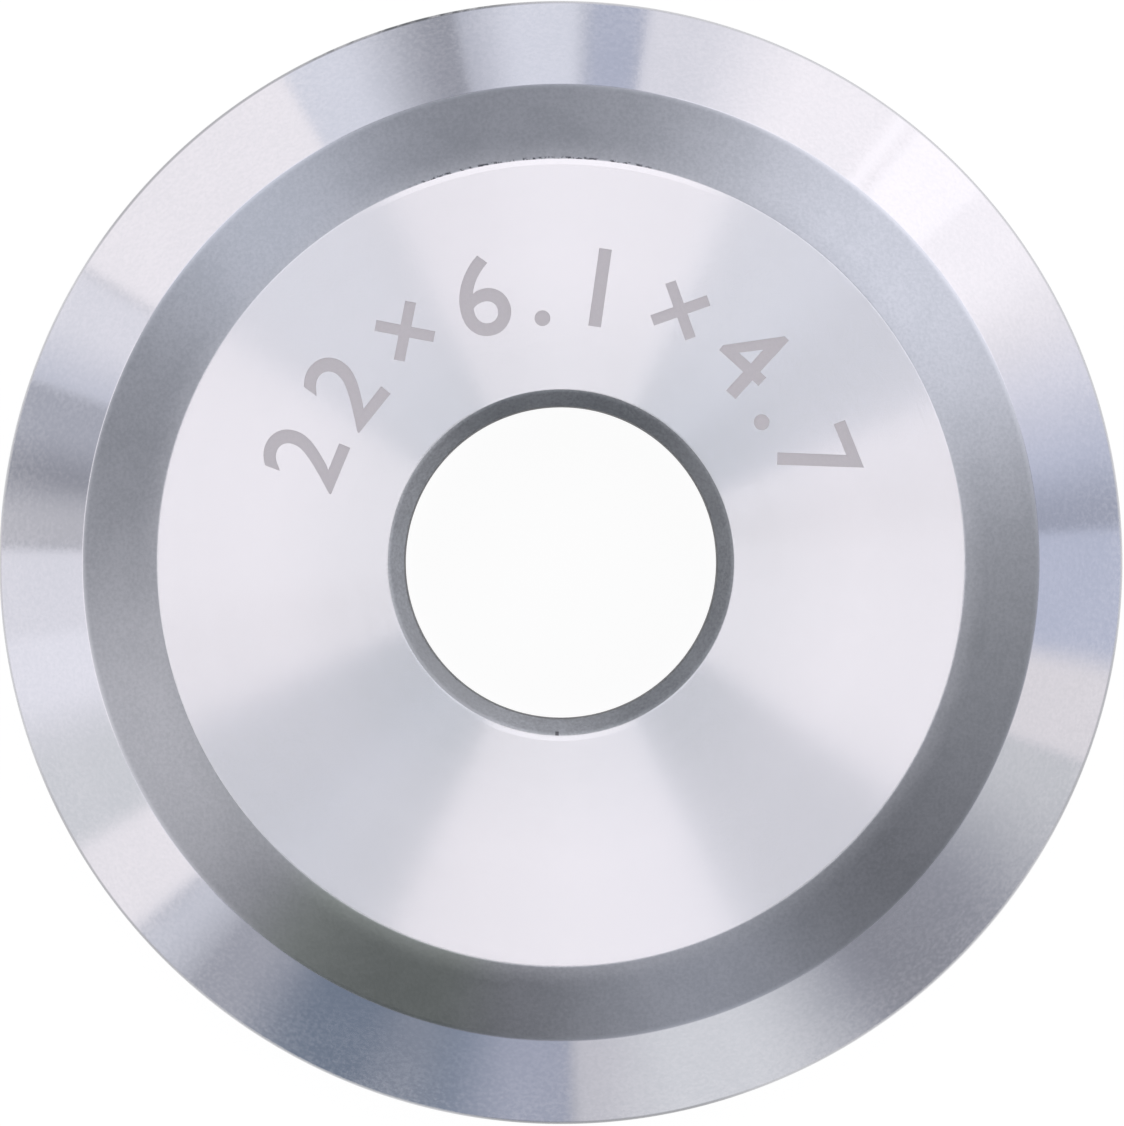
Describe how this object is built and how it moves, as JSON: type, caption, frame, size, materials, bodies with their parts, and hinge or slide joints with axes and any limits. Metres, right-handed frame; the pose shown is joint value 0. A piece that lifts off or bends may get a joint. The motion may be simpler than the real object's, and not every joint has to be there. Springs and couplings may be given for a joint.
{
  "type": "tile cutter wheel",
  "caption": "Solid hard-metal scoring wheel for a tile cutter, with a bevelled cutting edge, sloping shoulders, flat ground hub faces and a chamfered axle bore.",
  "frame": {"origin": "on the axis of the bore, at the height of the cutting edge, midway between the two hub faces", "axes": "+Z along the bore, out of the hub face that the picture shows; +Y is up in the picture and +X is right"},
  "size_m": [0.022, 0.022, 0.0046],
  "materials": {
    "ground_carbide": "ground hard metal: bright circular grind on the hub faces and bevels, satin shoulders, darker chamfer and bore"
  },
  "bodies": {
    "root": {"cutting_wheel": "ground_carbide"}
  },
  "joints": []
}
